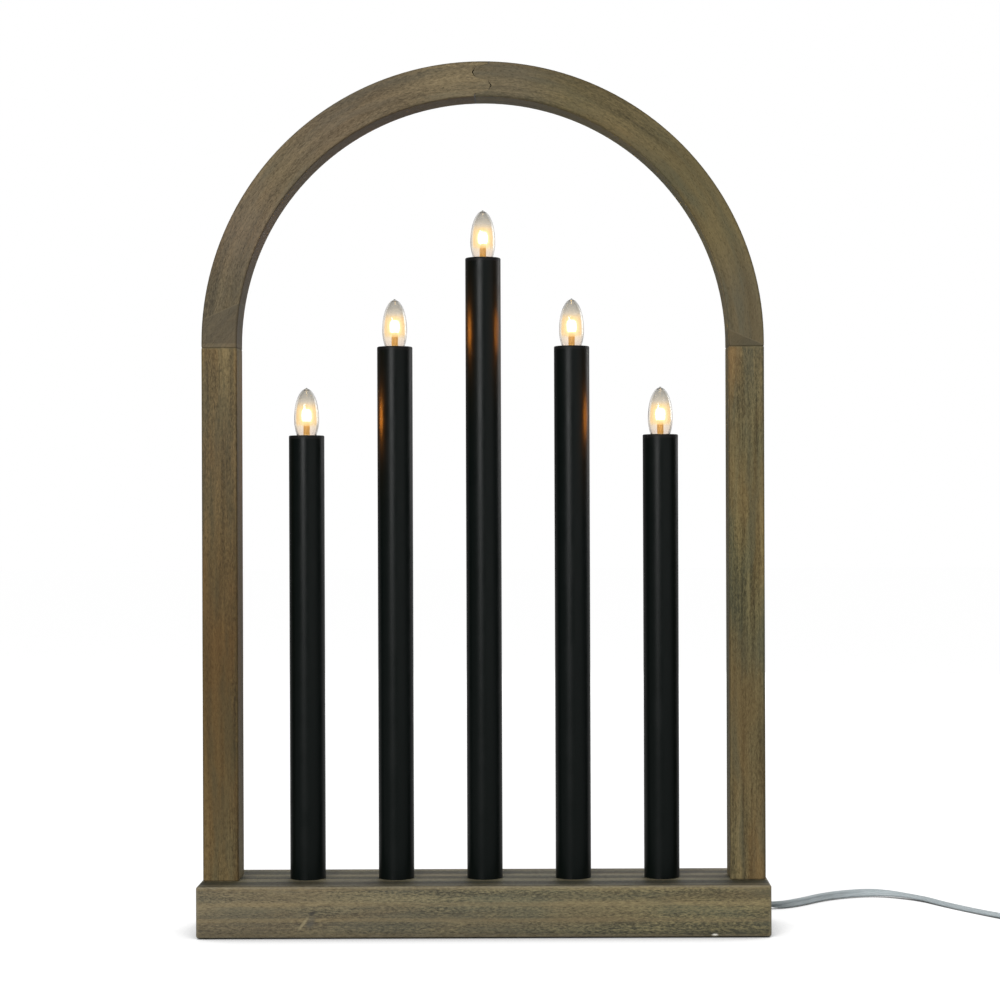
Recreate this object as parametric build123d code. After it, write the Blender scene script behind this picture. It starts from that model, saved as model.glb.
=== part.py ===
import os
from math import pi, radians, tan

from build123d import *

# A candle arch: a wooden base, two posts and a half-round arch over five electric candles.
# Sizes are in mm. +Z is up, -Y is the front, and the origin is on the floor under the middle of the base.

# Fits
slip = 0.1  # radial clearance of one piece standing in another
run_fit = 0.1  # radial clearance of the bulb's screw cap in its shell
end_gap = 1.0  # spare depth past the end of a peg or screw
over = 1.0  # how far a cut reaches past the face it starts from

# Base block
base_width = 350.0
base_depth = 70.0
base_height = 31.4
base_edge = 1.5  # rounding of every outer edge
pad_height = 0.6
pad_diameter = 10.0
pad_inset = 6.5  # from the end of the block to the middle of a pad
pad_side_inset = 15.0  # from the front or back of the block to the middle of a pad
base_top = pad_height + base_height

# Rebate, cover and wiring channel in the underside
cover_thickness = 3.0
cover_gap = 0.2
rebate_margin = 13.0  # wood left at the ends of the rebate
end_ledge = 6.0  # ledges between rebate and channel that carry the cover
side_ledge = 9.0
channel_depth = 10.0
feed_row = 6.5  # from the candles to the first of the two supply wires in the channel
feed_pitch = 3.5  # from that wire to the second one
feed_margin = 3.0  # from the second wire to the channel's side
wire_rise = 4.5  # from the cover to the middle of the wires
rebate_length = base_width - 2 * rebate_margin
channel_length = rebate_length - 2 * end_ledge
channel_width = 2 * (feed_row + feed_pitch + feed_margin)
rebate_width = channel_width + 2 * side_ledge
rebate_top = pad_height + cover_thickness
channel_top = rebate_top + channel_depth
wire_level = rebate_top + wire_rise

# Countersunk screws
screw_diameter = 3.0
screw_head = 6.0
screw_length = 12.0
screw_inset = 22.0  # from the end of the rebate to the outer screws
screw_row = rebate_length / 2 - screw_inset
screw_offset = (rebate_width - side_ledge) / 2

# Posts
post_width = 22.0
post_depth = 28.0
post_edge = 1.5  # rounding of the long edges
post_foot_edge = 0.8  # rounding round the foot
joint_bevel = 0.4  # small bevel round a butt joint
post_gap = 1.5  # from the end of the base to the outside of a post
spring_height = 361.0  # level of the joint between post and arch
post_x = base_width / 2 - post_gap - post_width / 2

# Arch
arch_outer = base_width / 2 - post_gap
arch_inner = arch_outer - post_width
arch_leg = 2.7  # straight part of an arch half, above its joint
arch_middle = spring_height + arch_leg
arch_sweep = 96.0  # degrees, past the crown so that the joint can be cut

# Crown joint: one tongue on each half, with a little air at the ends
lock_edge = 4.8  # how far the joint line starts and ends from the middle
lock_root = 3.6
lock_tip = 5.5
lock_air = 0.8
lock_round = 0.9  # rounding of the joint's corners
lock_shoulder = 0.08  # depth of the square end beside the first tongue, as a share of the arch
lock_shares = (0.17, 0.31, 0.46)  # depths of the first tongue's root, tip and root, as shares of the arch
lock_over = 0.2  # the same share, past the arch's inner and outer sides

# Pegs in the butt joints
peg_diameter = 6.0
peg_length = 30.0
peg_offset = 5.5  # from the middle of the post

# Candles
candle_count = 5
candle_pitch = 55.0
candle_step = 55.0  # each candle stands this much higher than its outer neighbour
outer_candle_top = 307.0
tube_outer = 22.0
tube_wall = 1.0
tube_seat = 14.0  # how deep a tube stands in the base
wire_hole = 10.0
tube_foot = base_top - tube_seat

# Lamp holder, measured down from the top of its flange
flange_height = 2.2
flange_edge = 0.8
holder_length = 26.0
recess_depth = 5.0
recess_diameter = 13.6
shell_floor = 18.0  # depth of the socket's floor
shell_inner = 9.8
shell_wall = 0.5
shell_top_gap = 0.6  # shell ends this much below the floor of the recess
contact_diameter = 7.0
contact_height = 1.1
contact_dimple = 4.0
contact_dimple_height = 0.8
contact_gap = 0.1  # air between the contact and the bulb's button

# Bulb, measured up from the top of the flange
glass_wall = 0.9
glass_tip = 1.8  # thickness at the tip
glass_neck = 5.9  # radius
glass_foot = -3.2
flame_radii = (6.05, 7.1, 7.65, 7.65, 7.15, 6.2, 4.75, 2.7)
flame_levels = (0.0, 4.0, 8.2, 12.0, 17.2, 21.6, 25.2, 28.1)
flame_top = 29.8
stem_radius = 2.0
stem_top = 8.5
led_radius = 2.2
led_height = 5.0
stem_disc_height = 1.5
stem_plate = 1.0  # plate between glass and cap
stem_plug = 1.8  # length of the plug in the cap
cap_radius = shell_inner / 2 - run_fit
cap_wall = 0.4
cap_length = 10.0
tip_disc = 1.8
tip_taper = 1.0
tip_taper_radii = (3.9, 2.6)
tip_button_radius = 2.0

# Lamp wires
wire_diameter = 1.6
wire_offset = 3.2  # from the candle's axis to a wire
wire_bend = 3.0
feed_rows = (-feed_row, -feed_row - feed_pitch)
feed_spread = 1.1  # from the cord's middle to each of its two wires

# Cord: drawn as a round tube with the section of the flat two-core cord
cord_diameter = 4.0
cord_inset = 25.0  # from the end of the block to the hole in its back
cord_x = base_width / 2 - cord_inset
cord_hole = 6.0
cord_end = -1.0  # where the cord stops inside the channel
cord_floor = cord_diameter / 2  # level of its middle on the floor
clamp_length = 8.0
clamp_left = 12.0
clamp_right = 5.0
clamp_setback = 2.0  # from the back of the channel
clamp_back = channel_width / 2 - clamp_setback
clamp_drop = 1.0  # air between clamp and cover
clamp_screw_offset = 7.5
clamp_screw_length = 14.0

# Its route over the floor: across and back from the hole, and the level of its middle
cord_steps = (
    (0.0, 0.0, wire_level),
    (0.0, 19.5, wire_level),
    (13.5, 34.0, 4.6),
    (34.0, 33.5, cord_floor),
    (54.0, 50.0, cord_floor),
    (73.0, 70.5, cord_floor),
    (94.5, 83.0, cord_floor),
    (116.0, 78.5, cord_floor),
    (134.0, 59.0, cord_floor),
    (148.5, 32.5, cord_floor),
    (171.5, 2.5, cord_floor),
    (192.0, -27.0, cord_floor),
    (196.0, -49.0, cord_floor),
    (196.0, -65.0, cord_floor),
)
cord_route = [(cord_x + across, base_depth / 2 + back, level) for across, back, level in cord_steps]
bend_share = 0.45  # part of the shorter run that a bend takes up

# Coil of spare cord, wound in on the floor and out again on a second layer
coil_gap = 0.5
coil_pitch = cord_diameter + coil_gap
coil_inner = 21.5
coil_turns = 4  # on the floor
coil_turns_back = 3  # on the second layer
coil_lead = cord_diameter  # straight length at its start
coil_tail = 24.0  # straight length to the plug
coil_outer = coil_inner + coil_turns * coil_pitch
gap_samples = 24  # points on each half turn when the gap is measured

# Plug
plug_height = 2 * (cord_floor + coil_pitch)
plug_width = 35.0
plug_nose = 22.0  # tapered sleeve on the cord
plug_nose_radii = (3.2, 5.2)
plug_shoulder = 12.0  # width where the sleeve meets the body
plug_taper = 9.0
plug_length = 47.0
plug_edge = 1.5
pin_diameter = 4.0
pin_length = 19.0
pin_root = 6.0
pin_pitch = 19.0
pin_round = 1.0


def cylinder_at(radius, bottom, top, x=0.0, y=0.0):
    return Pos(x, y, (bottom + top) / 2) * Cylinder(radius, top - bottom)


def ring_at(outer, inner, bottom, top, x=0.0, y=0.0):
    return cylinder_at(outer, bottom, top, x, y) - cylinder_at(inner, bottom - over, top + over, x, y)


def rod_at(radius, front, back, x, level):
    return Pos(x, (front + back) / 2, level) * (Rot(90, 0, 0) * Cylinder(radius, back - front))


def box_at(x_range, y_range, z_range):
    size = [high - low for low, high in (x_range, y_range, z_range)]
    middle = [(high + low) / 2 for low, high in (x_range, y_range, z_range)]
    return Pos(*middle) * Box(*size)


def countersunk_screw(x, y, bottom, length):
    head_height = (screw_head - screw_diameter) / 2
    head = Pos(x, y, bottom + head_height / 2) * Cone(screw_head / 2, screw_diameter / 2, head_height)
    return head + cylinder_at(screw_diameter / 2, bottom + head_height, bottom + length, x, y)


def countersunk_hole(x, y, bottom, length):
    head_height = (screw_head - screw_diameter) / 2
    head = Pos(x, y, bottom + head_height / 2) * Cone(
        screw_head / 2 + slip, screw_diameter / 2 + slip, head_height
    )
    hole = cylinder_at(screw_diameter / 2 + slip, bottom + head_height / 2, bottom + length, x, y)
    mouth = cylinder_at(screw_head / 2 + slip, bottom - over, bottom, x, y)
    return head + hole + mouth


def turn_at(before, corner, after):
    first = Vector(*corner) - Vector(*before)
    second = Vector(*after) - Vector(*corner)
    return radians(first.get_angle(second))


def bend_radii(route):
    radii = []
    for before, corner, after in zip(route, route[1:], route[2:]):
        first = (Vector(*corner) - Vector(*before)).length
        second = (Vector(*after) - Vector(*corner)).length
        radii.append(bend_share * min(first, second) / tan(turn_at(before, corner, after) / 2))
    return radii


def tube_along(path, diameter):
    section = Plane(path.position_at(0), z_dir=path.tangent_at(0)) * Circle(diameter / 2)
    return sweep(section, path=path)


def report_tube(name, solid, path, diameter):
    expected = pi * diameter * diameter / 4 * path.length
    print(f"{name}: length {path.length:.1f}, volume {solid.volume:.1f} of {expected:.1f}")


def export(name, shape):
    export_step(shape, f"parts/{name}.step")


def group(solids):
    return Compound(children=[solid for shape in solids for solid in shape.solids()])


candle_x = [(number - (candle_count - 1) / 2) * candle_pitch for number in range(candle_count)]
candle_top = [
    outer_candle_top + candle_step * min(number, candle_count - 1 - number) for number in range(candle_count)
]

# Pegs: two in each foot and two in each joint with the arch
peg_places = [
    (side * post_x, row * peg_offset, level)
    for side in (-1, 1)
    for row in (-1, 1)
    for level in (base_top, spring_height)
]


def pegs(radius, spare):
    reach = peg_length / 2 + spare
    return [cylinder_at(radius, level - reach, level + reach, x, y) for x, y, level in peg_places]


peg_holes = pegs(peg_diameter / 2 + slip, end_gap)


def cut_all(shape, tools):
    for tool in tools:
        shape = shape - tool
    return shape


# Base block
base = Pos(0, 0, pad_height + base_height / 2) * Box(base_width, base_depth, base_height)
base = fillet(base.edges(), base_edge)
base = base - box_at(
    (-rebate_length / 2, rebate_length / 2),
    (-rebate_width / 2, rebate_width / 2),
    (pad_height - over, rebate_top),
)
base = base - box_at(
    (-channel_length / 2, channel_length / 2),
    (-channel_width / 2, channel_width / 2),
    (rebate_top - over, channel_top),
)
for x in candle_x:
    base = base - cylinder_at(tube_outer / 2 + slip, tube_foot, base_top + over, x)
    base = base - cylinder_at(wire_hole / 2, channel_top - over, tube_foot + over, x)
base = base - rod_at(cord_hole / 2, channel_width / 2 - over, base_depth / 2 + over, cord_x, wire_level)
screw_places = [(row * screw_row, side * screw_offset) for row in (-1, 0, 1) for side in (-1, 1)]
base = cut_all(
    base,
    [
        cylinder_at(screw_diameter / 2 + slip, pad_height, pad_height + screw_length + end_gap, x, y)
        for x, y in screw_places
    ],
)
clamp_screw_x = cord_x - clamp_screw_offset
clamp_bottom = rebate_top + clamp_drop
clamp_middle = clamp_back - clamp_length / 2
base = base - cylinder_at(
    screw_diameter / 2 + slip,
    channel_top - over,
    clamp_bottom + clamp_screw_length + end_gap,
    clamp_screw_x,
    clamp_middle,
)
base = cut_all(base, peg_holes)

# Cover, its screws and the pads
cover = box_at(
    (-rebate_length / 2 + cover_gap, rebate_length / 2 - cover_gap),
    (-rebate_width / 2 + cover_gap, rebate_width / 2 - cover_gap),
    (pad_height, rebate_top),
)
cover = cut_all(cover, [countersunk_hole(x, y, pad_height, screw_length) for x, y in screw_places])
cover_screws = [countersunk_screw(x, y, pad_height, screw_length) for x, y in screw_places]
pad_x = base_width / 2 - pad_inset
pad_y = base_depth / 2 - pad_side_inset
pads = [
    cylinder_at(pad_diameter / 2, 0, pad_height, side * pad_x, row * pad_y)
    for side in (-1, 1)
    for row in (-1, 1)
]


# Posts
def post(side):
    solid = box_at(
        (side * post_x - post_width / 2, side * post_x + post_width / 2),
        (-post_depth / 2, post_depth / 2),
        (base_top, spring_height),
    )
    solid = fillet(solid.edges().filter_by(Axis.Z), post_edge)
    solid = fillet(solid.faces().sort_by(Axis.Z)[0].edges(), post_foot_edge)
    solid = chamfer(solid.faces().sort_by(Axis.Z)[-1].edges(), joint_bevel)
    return cut_all(solid, peg_holes)


# Arch halves: a rounded section turned about the arch's middle and parted along the crown joint
def lock_line(left_air, right_air):
    root_share, tip_share, back_share = lock_shares
    line = [
        (lock_edge - left_air, -lock_over),
        (lock_edge - left_air, lock_shoulder),
        (-lock_root, root_share),
        (-lock_tip - left_air, tip_share),
        (-lock_root, back_share),
        (lock_root, 1 - back_share),
        (lock_tip + right_air, 1 - tip_share),
        (lock_root, 1 - root_share),
        (right_air - lock_edge, 1 - lock_shoulder),
        (right_air - lock_edge, 1.0 + lock_over),
    ]
    crown = arch_middle + arch_outer
    return [(x, crown - share * post_width) for x, share in line]


def arch_half(side):
    section = Plane.XY * (
        Pos(side * (arch_outer + arch_inner) / 2, 0) * RectangleRounded(post_width, post_depth, post_edge)
    )
    ring = revolve(section, Axis.Y, -side * arch_sweep) + extrude(section, amount=-arch_leg)
    ring = chamfer(ring.faces().sort_by(Axis.Z)[0].edges(), joint_bevel)
    ring = Pos(0, 0, arch_middle) * ring
    line = lock_line(lock_air, 0.0) if side < 0 else lock_line(0.0, lock_air)
    reach = side * (arch_outer + post_width)
    low = spring_height - post_width
    joint = FilletPolyline(*line, radius=lock_round)
    border = Polyline(line[-1], (line[-1][0], low), (reach, low), (reach, line[0][1]), line[0])
    keep = extrude(Plane.XZ * make_face(joint.edges() + border.edges()), amount=post_depth, both=True)
    return cut_all(ring & keep, peg_holes)


# Candle head pieces
def lamp_holder(x, top):
    flange = cylinder_at(tube_outer / 2, top - flange_height, top, x)
    flange = fillet(flange.edges().group_by(Axis.Z)[-1], flange_edge)
    spigot = cylinder_at(tube_outer / 2 - tube_wall - slip, top - holder_length, top - flange_height, x)
    socket_radius = shell_inner / 2 + shell_wall + slip
    solid = flange + spigot
    solid = solid - cylinder_at(recess_diameter / 2, top - recess_depth, top + over, x)
    return solid - cylinder_at(socket_radius, top - shell_floor, top, x)


def holder_shell(x, top):
    inner = shell_inner / 2
    return ring_at(inner + shell_wall, inner, top - shell_floor, top - recess_depth - shell_top_gap, x)


def holder_contact(x, top):
    floor = top - shell_floor
    disc = cylinder_at(contact_diameter / 2, floor, floor + contact_height, x)
    dimple_top = floor + contact_height + contact_dimple_height
    return disc + cylinder_at(contact_dimple / 2, floor + contact_height, dimple_top, x)


cap_top = glass_foot - stem_plate
cap_foot = cap_top - cap_length
button_foot = -shell_floor + contact_height + contact_dimple_height + contact_gap


def bulb_cap(x, top):
    return ring_at(cap_radius, cap_radius - cap_wall, top + cap_foot, top + cap_top, x)


def bulb_tip(x, top):
    disc = cylinder_at(cap_radius - cap_wall - slip, top + cap_foot, top + cap_foot + tip_disc, x)
    wide, narrow = tip_taper_radii
    taper = Pos(x, 0, top + cap_foot - tip_taper / 2) * Cone(narrow, wide, tip_taper)
    button = cylinder_at(tip_button_radius, top + button_foot, top + cap_foot - tip_taper, x)
    return disc + taper + button


def bulb_led(x, top):
    plug = cylinder_at(cap_radius - cap_wall - slip, top + cap_top - stem_plug, top + cap_top, x)
    plate = cylinder_at(glass_neck, top + cap_top, top + glass_foot, x)
    disc = cylinder_at(glass_neck - glass_wall - slip, top + glass_foot, top + glass_foot + stem_disc_height, x)
    stem = cylinder_at(stem_radius, top + glass_foot + stem_disc_height, top + stem_top, x)
    lens_straight = led_height - led_radius
    lens = cylinder_at(led_radius, top + stem_top, top + stem_top + lens_straight, x)
    dome = Pos(x, 0, top + stem_top + lens_straight) * Sphere(led_radius, arc_size1=0)
    return plug + plate + disc + stem + lens + dome


def flame_body(inset, foot, top):
    side = [(radius - inset, level) for radius, level in zip(flame_radii, flame_levels)]
    edges = [
        Line((0, foot), (glass_neck - inset, foot)),
        Line((glass_neck - inset, foot), side[0]),
        Spline(*side),
        Line(side[-1], (0, top)),
        Line((0, top), (0, foot)),
    ]
    return revolve(Plane.XZ * make_face(edges), Axis.Z)


flame_outside = flame_body(0.0, glass_foot, flame_top)
flame_inside = flame_body(glass_wall, glass_foot - over, flame_top - glass_tip)
flame = flame_outside - flame_inside


def bulb_glass(x, top):
    return Pos(x, 0, top) * flame


# Lamp wires: the holders are joined one after another, and the two ends go to the cord
def lamp_wire(points):
    path = FilletPolyline(*points, radius=wire_bend)
    return tube_along(path, wire_diameter)


def holder_foot(number):
    return candle_top[number] - holder_length


wires = []
for number in range(candle_count - 1):
    left = candle_x[number] + wire_offset
    right = candle_x[number + 1] - wire_offset
    wires.append(
        lamp_wire(
            [
                (left, 0, holder_foot(number)),
                (left, 0, wire_level),
                (right, 0, wire_level),
                (right, 0, holder_foot(number + 1)),
            ]
        )
    )
feed_starts = (cord_x - feed_spread, cord_x + feed_spread)
feed_ends = (candle_x[-1] + wire_offset, candle_x[0] - wire_offset)
feed_numbers = (candle_count - 1, 0)
for start, end, row, number in zip(feed_starts, feed_ends, feed_rows, feed_numbers):
    wires.append(
        lamp_wire(
            [
                (start, cord_end, wire_level),
                (start, row, wire_level),
                (end, row, wire_level),
                (end, 0, wire_level),
                (end, 0, holder_foot(number)),
            ]
        )
    )

# Strain relief
clamp = box_at(
    (cord_x - clamp_left, cord_x + clamp_right),
    (clamp_back - clamp_length, clamp_back),
    (clamp_bottom, channel_top),
)
clamp = clamp - rod_at(
    cord_diameter / 2 + slip, clamp_back - clamp_length - over, clamp_back + over, cord_x, wire_level
)
clamp = clamp - countersunk_hole(clamp_screw_x, clamp_middle, clamp_bottom, clamp_screw_length)
clamp_screw = countersunk_screw(clamp_screw_x, clamp_middle, clamp_bottom, clamp_screw_length)

# Cord
inlet_path = Line((cord_x, cord_end, wire_level), cord_route[0])
cord_inlet = tube_along(inlet_path, cord_diameter)
lead_radii = bend_radii(cord_route)
lead_path = FilletPolyline(*cord_route, radius=lead_radii)
cord_lead = tube_along(lead_path, cord_diameter)
print("bend radii of the cord:", [round(radius, 1) for radius in lead_radii])
report_tube("cord_lead", cord_lead, lead_path, cord_diameter)

# Coil: half turns about alternate middles, so that each turn keeps one pitch from the last
coil_start = Vector(*cord_route[-1])
coil_middle = Vector(coil_start.X + coil_outer, coil_start.Y - coil_lead, 0)
half_steps = [-coil_pitch / 2] * (2 * coil_turns)
climb_step = -coil_pitch / 2
back_steps = [coil_pitch] + [coil_pitch / 2] * (2 * coil_turns_back - 1)
crossings = [(coil_outer, cord_floor)]
for step in half_steps:
    crossings.append((crossings[-1][0] + step, cord_floor))
for step in [climb_step] + back_steps:
    crossings.append((crossings[-1][0] + step, cord_floor + coil_pitch))
coil_edges = [Line(coil_start, (coil_start.X, coil_middle.Y, cord_floor))]
for number in range(len(crossings) - 1):
    side = -1 if number % 2 == 0 else 1
    (radius, level), (next_radius, next_level) = crossings[number], crossings[number + 1]
    begin = Vector(coil_middle.X + side * radius, coil_middle.Y, level)
    finish = Vector(coil_middle.X - side * next_radius, coil_middle.Y, next_level)
    middle = (begin + finish) / 2
    across = (finish - begin).length / 2
    coil_edges.append(ThreePointArc(begin, (middle.X, middle.Y + side * across, middle.Z), finish))
coil_finish = coil_edges[-1] @ 1
coil_edges.append(Line(coil_finish, coil_finish + Vector(0, coil_tail, 0)))
coil_path = Wire(coil_edges)
cord_coil = tube_along(coil_path, cord_diameter)
report_tube("cord_coil", cord_coil, coil_path, cord_diameter)


def least_self_gap(edges, diameter):
    turns = [[edge.position_at(step / gap_samples) for step in range(gap_samples + 1)] for edge in edges]
    least = None
    for first in range(len(turns)):
        for second in range(first + 2, len(turns)):
            for point in turns[first]:
                for other in turns[second]:
                    gap = (point - other).length - diameter
                    least = gap if least is None else min(least, gap)
    return least


print(f"least gap between the coil's turns: {least_self_gap(coil_edges, cord_diameter):.2f}")
print(f"cord in all: {inlet_path.length + lead_path.length + coil_path.length:.0f}")

# Plug at the end of the cord
plug_x = coil_finish.X
plug_start = coil_finish.Y + coil_tail
plug_end = plug_start + plug_length
plug_half = plug_width / 2
shoulder_half = plug_shoulder / 2
shoulder_y = plug_start + plug_nose
plug_outline = [
    (plug_x - shoulder_half, shoulder_y),
    (plug_x + shoulder_half, shoulder_y),
    (plug_x + plug_half, shoulder_y + plug_taper),
    (plug_x + plug_half, plug_end),
    (plug_x - plug_half, plug_end),
    (plug_x - plug_half, shoulder_y + plug_taper),
]
plug_body = extrude(make_face(Polyline(*plug_outline, close=True)), amount=plug_height)
plug_body = fillet(plug_body.edges().filter_by(Axis.Z), plug_edge)
plug_body = fillet(plug_body.faces().sort_by(Axis.Z)[-1].edges(), plug_edge)
plug_body = fillet(plug_body.faces().sort_by(Axis.Z)[0].edges(), plug_edge)
pin_level = plug_height / 2
narrow, wide = plug_nose_radii
nose = Pos(plug_x, plug_start + plug_nose / 2, pin_level) * (
    Rot(-90, 0, 0) * Cone(narrow, wide, plug_nose)
)
plug_body = plug_body + nose
pins = []
for side in (-1, 1):
    pin_x = plug_x + side * pin_pitch / 2
    pin = rod_at(pin_diameter / 2, plug_end - pin_root, plug_end + pin_length, pin_x, pin_level)
    pins.append(fillet(pin.edges().sort_by(Axis.Y)[-1], pin_round))
    plug_body = plug_body - rod_at(
        pin_diameter / 2 + slip, plug_end - pin_root, plug_end + over, pin_x, pin_level
    )

os.makedirs("parts", exist_ok=True)
export("base_block", base)
export("left_post", post(-1))
export("right_post", post(1))
export("arch_left", arch_half(-1))
export("arch_right", arch_half(1))
export("dowels", group(pegs(peg_diameter / 2, 0.0)))
export("bottom_cover", cover)
export("cover_screws", group(cover_screws))
export("foot_pads", group(pads))
for number, (x, top) in enumerate(zip(candle_x, candle_top), start=1):
    tube_inner = tube_outer / 2 - tube_wall
    export(f"candle_tube_{number}", ring_at(tube_outer / 2, tube_inner, tube_foot, top - flange_height, x))
    export(f"lamp_holder_{number}", lamp_holder(x, top))
    export(f"holder_shell_{number}", holder_shell(x, top))
    export(f"holder_contact_{number}", holder_contact(x, top))
    export(f"bulb_cap_{number}", bulb_cap(x, top))
    export(f"bulb_tip_{number}", bulb_tip(x, top))
    export(f"bulb_led_{number}", bulb_led(x, top))
    export(f"bulb_glass_{number}", bulb_glass(x, top))
export("lamp_wires", group(wires))
export("cord_clamp", clamp)
export("clamp_screw", clamp_screw)
export("cord_inlet", cord_inlet)
export("cord_lead", cord_lead)
export("cord_coil", cord_coil)
export("plug_body", plug_body)
export("plug_pins", group(pins))
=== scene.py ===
from math import cos, pi, radians, sin

import bpy
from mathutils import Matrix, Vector


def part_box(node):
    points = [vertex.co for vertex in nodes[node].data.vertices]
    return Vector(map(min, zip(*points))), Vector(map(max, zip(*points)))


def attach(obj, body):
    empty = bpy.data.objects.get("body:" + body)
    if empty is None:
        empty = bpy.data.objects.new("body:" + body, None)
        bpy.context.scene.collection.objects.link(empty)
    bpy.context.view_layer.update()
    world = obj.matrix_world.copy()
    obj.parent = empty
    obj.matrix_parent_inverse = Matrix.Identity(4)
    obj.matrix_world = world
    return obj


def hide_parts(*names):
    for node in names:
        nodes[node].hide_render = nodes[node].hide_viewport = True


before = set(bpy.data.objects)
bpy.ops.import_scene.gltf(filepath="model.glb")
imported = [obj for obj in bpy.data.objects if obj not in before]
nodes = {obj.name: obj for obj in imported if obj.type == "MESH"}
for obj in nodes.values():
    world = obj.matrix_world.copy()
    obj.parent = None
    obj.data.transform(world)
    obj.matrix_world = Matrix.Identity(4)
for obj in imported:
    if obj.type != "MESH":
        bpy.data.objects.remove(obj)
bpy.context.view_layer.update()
candleNumbers = range(1, 6)
print("frame loaded:", len(nodes), "nodes")


# small helpers for node trees and meshes
def place(tree, kind, values=None, **settings):
    node = tree.nodes.new(kind)
    for key, value in settings.items():
        setattr(node, key, value)
    for key, value in (values or {}).items():
        if isinstance(value, bpy.types.NodeSocket):
            tree.links.new(value, node.inputs[key])
        else:
            node.inputs[key].default_value = value
    return node


def calc(tree, operation, *values):
    return place(tree, "ShaderNodeMath", dict(enumerate(values)), operation=operation).outputs[0]


def vectorCalc(tree, operation, *values):
    node = place(tree, "ShaderNodeVectorMath", dict(enumerate(values)), operation=operation)
    return node.outputs["Value" if operation in ("LENGTH", "DISTANCE") else "Vector"]


def coords(tree, kind="Object"):
    return tree.nodes.new("ShaderNodeTexCoord").outputs[kind]


def axes(tree, vector):
    return place(tree, "ShaderNodeSeparateXYZ", {0: vector}).outputs


def noise(tree, vector, stretch, detail=2.0, roughness=0.5, output=0):
    scaled = vectorCalc(tree, "MULTIPLY", vector, stretch)
    values = {"Vector": scaled, "Scale": 1.0, "Detail": detail, "Roughness": roughness}
    return place(tree, "ShaderNodeTexNoise", values).outputs[output]


def between(tree, value, low, high, toLow=0.0, toHigh=1.0):  # smooth step from low to high
    node = place(tree, "ShaderNodeMapRange", {0: value, 1: low, 2: high, 3: toLow, 4: toHigh})
    node.interpolation_type = "SMOOTHSTEP"
    return node.outputs[0]


def blendColor(tree, share, first, second, kind="MIX"):
    node = place(tree, "ShaderNodeMix", data_type="RGBA", blend_type=kind)
    for key, value in ((0, share), (6, first), (7, second)):
        if isinstance(value, bpy.types.NodeSocket):
            tree.links.new(value, node.inputs[key])
        else:
            node.inputs[key].default_value = value if key == 0 else (*value, 1.0)
    return node.outputs[2]


def newGroup(name, takes, gives):
    group = bpy.data.node_groups.new(name, "ShaderNodeTree")
    kinds = {"c": "NodeSocketColor", "v": "NodeSocketVector", "f": "NodeSocketFloat"}
    for socket, kind in takes:
        group.interface.new_socket(socket, in_out="INPUT", socket_type=kinds[kind])
    for socket, kind in gives:
        group.interface.new_socket(socket, in_out="OUTPUT", socket_type=kinds[kind])
    return group, group.nodes.new("NodeGroupInput").outputs, group.nodes.new("NodeGroupOutput").inputs


def useGroup(tree, group, values):
    node = tree.nodes.new("ShaderNodeGroup")
    node.node_tree = group
    for key, value in values.items():
        socket = node.inputs[key]
        if isinstance(value, bpy.types.NodeSocket):
            tree.links.new(value, socket)
        else:
            socket.default_value = (*value, 1.0) if socket.type == "RGBA" else value
    return node.outputs


def newMaterial(name, **shaderValues):
    material = bpy.data.materials.new(name)
    material.use_nodes = True
    tree = material.node_tree
    tree.nodes.clear()
    shader = tree.nodes.new("ShaderNodeBsdfPrincipled")
    output = tree.nodes.new("ShaderNodeOutputMaterial")
    tree.links.new(shader.outputs[0], output.inputs["Surface"])
    for key, value in shaderValues.items():
        shader.inputs[key.replace("_", " ")].default_value = value
    return material, tree, shader


def setBump(tree, shader, height, distance, strength=1.0):
    bump = place(tree, "ShaderNodeBump", {"Height": height, "Distance": distance, "Strength": strength})
    tree.links.new(bump.outputs[0], shader.inputs["Normal"])


def dress(name, material):
    slots = nodes[name].data.materials
    slots.clear()
    slots.append(material)


def newPiece(name, points, faces, material, smooth=True):
    mesh = bpy.data.meshes.new(name)
    mesh.from_pydata(points, [], faces)
    mesh.validate()
    mesh.materials.append(material)
    for polygon in mesh.polygons:
        polygon.use_smooth = smooth
    piece = bpy.data.objects.new(name, mesh)
    bpy.context.scene.collection.objects.link(piece)
    return piece


# profile of (radius, height); a radius of 0 closes an end with one point
def lathe(profile, sides, closed=False):
    points, rings, faces = [], [], []
    for radius, height in profile:
        count = 1 if radius == 0 else sides
        rings.append(list(range(len(points), len(points) + count)))
        angles = [2 * pi * i / sides for i in range(count)]
        points += [(radius * cos(angle), radius * sin(angle), height) for angle in angles]
    for lower, upper in zip(rings, rings[1:] + rings[:1] if closed else rings[1:]):
        for i in range(sides):
            j = (i + 1) % sides
            below = [lower[k % len(lower)] for k in (i, j)]
            above = [upper[k % len(upper)] for k in (j, i)]
            faces.append(list(dict.fromkeys(below + above)))
    return points, faces


def addPrism(points, faces, near, far):  # a closed solid between two like outlines
    first, count = len(points), len(near)
    points += near + far
    faces.append(tuple(first + i for i in range(count)))
    faces.append(tuple(first + count + i for i in reversed(range(count))))
    for i in range(count):
        n = (i + 1) % count
        faces.append((first + n, first + i, first + count + i, first + count + n))


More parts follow.
